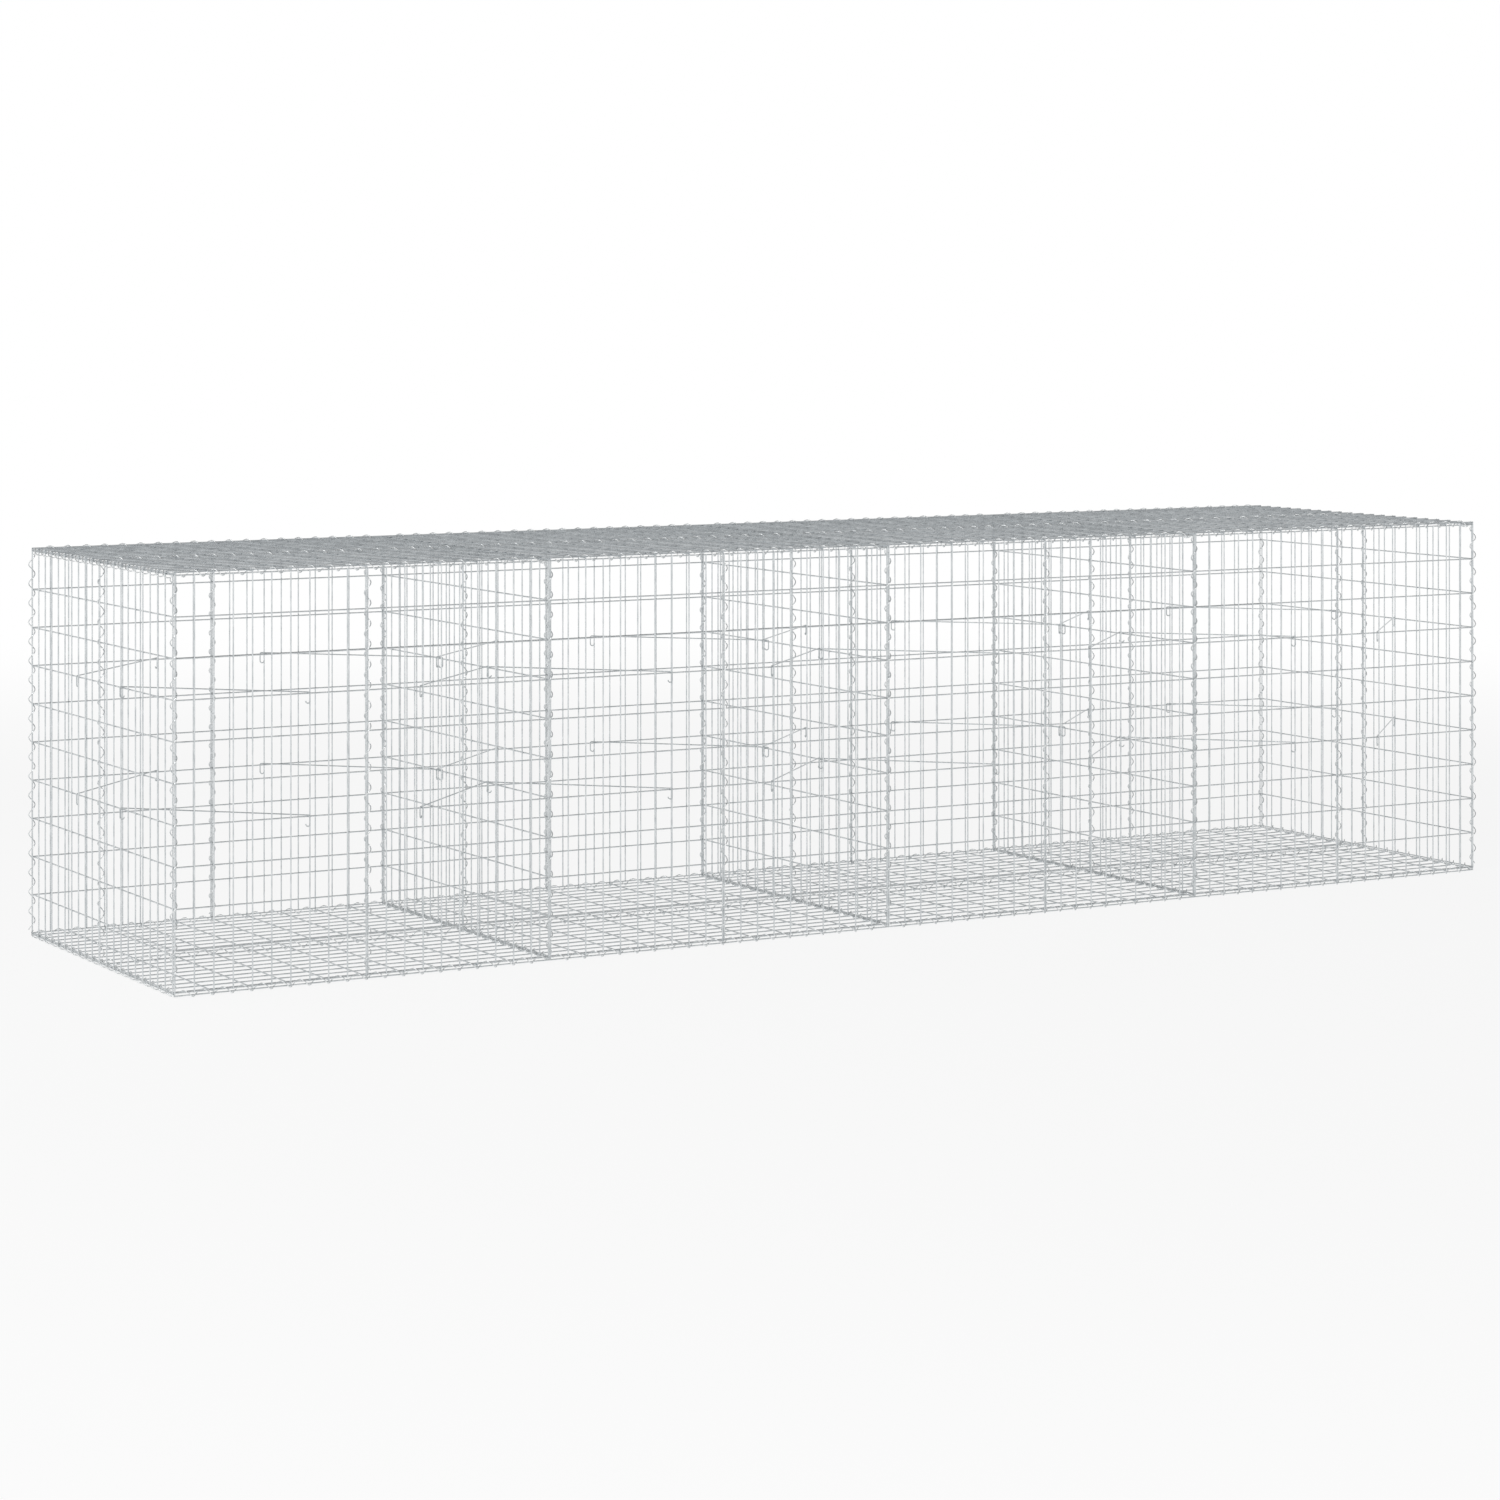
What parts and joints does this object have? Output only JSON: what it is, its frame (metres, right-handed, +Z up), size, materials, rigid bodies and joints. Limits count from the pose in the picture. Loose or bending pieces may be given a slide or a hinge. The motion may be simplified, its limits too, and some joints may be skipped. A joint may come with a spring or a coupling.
{
  "type": "gabion basket",
  "caption": "Long wire mesh basket with inner dividers and a laced lid, which stands on the ground and is filled with stones to make a wall.",
  "frame": {"origin": "centre of the bounding box, on the ground", "axes": "+X along the row of bays from the left end to the right end, +Y from the front wall to the back wall, +Z up"},
  "size_m": [4.0559, 1.0293, 1.026],
  "materials": {
    "panels": "galvanised, dull grey",
    "spirals": "galvanised, satin grey",
    "stays": "galvanised, satin grey"
  },
  "bodies": {
    "root": {"lid_long_spirals": "spirals", "floor_long_spirals": "spirals", "front_spirals": "spirals", "back_spirals": "spirals", "lid_cross_spirals": "spirals", "floor_cross_spirals": "spirals", "divider_spirals": "spirals", "end_spirals": "spirals", "stays_bay_1": "stays", "stays_bay_2": "stays", "stays_bay_3": "stays", "stays_bay_4": "stays", "front_panel_1": "panels", "front_panel_2": "panels", "front_panel_3": "panels", "front_panel_4": "panels", "front_panel_5": "panels", "front_panel_6": "panels", "front_panel_7": "panels", "front_panel_8": "panels", "back_panel_1": "panels", "back_panel_2": "panels", "back_panel_3": "panels", "back_panel_4": "panels", "back_panel_5": "panels", "back_panel_6": "panels", "back_panel_7": "panels", "back_panel_8": "panels", "left_end_panel_front": "panels", "left_end_panel_back": "panels", "divider_1_front": "panels", "divider_1_back": "panels", "divider_2_front": "panels", "divider_2_back": "panels", "divider_3_front": "panels", "divider_3_back": "panels", "right_end_panel_front": "panels", "right_end_panel_back": "panels", "floor_panel_1_front": "panels", "floor_panel_2_front": "panels", "floor_panel_3_front": "panels", "floor_panel_4_front": "panels", "floor_panel_1_back": "panels", "floor_panel_2_back": "panels", "floor_panel_3_back": "panels", "floor_panel_4_back": "panels", "lid_panel_1_front": "panels", "lid_panel_2_front": "panels", "lid_panel_3_front": "panels", "lid_panel_4_front": "panels", "lid_panel_1_back": "panels", "lid_panel_2_back": "panels", "lid_panel_3_back": "panels", "lid_panel_4_back": "panels"}
  },
  "joints": []
}
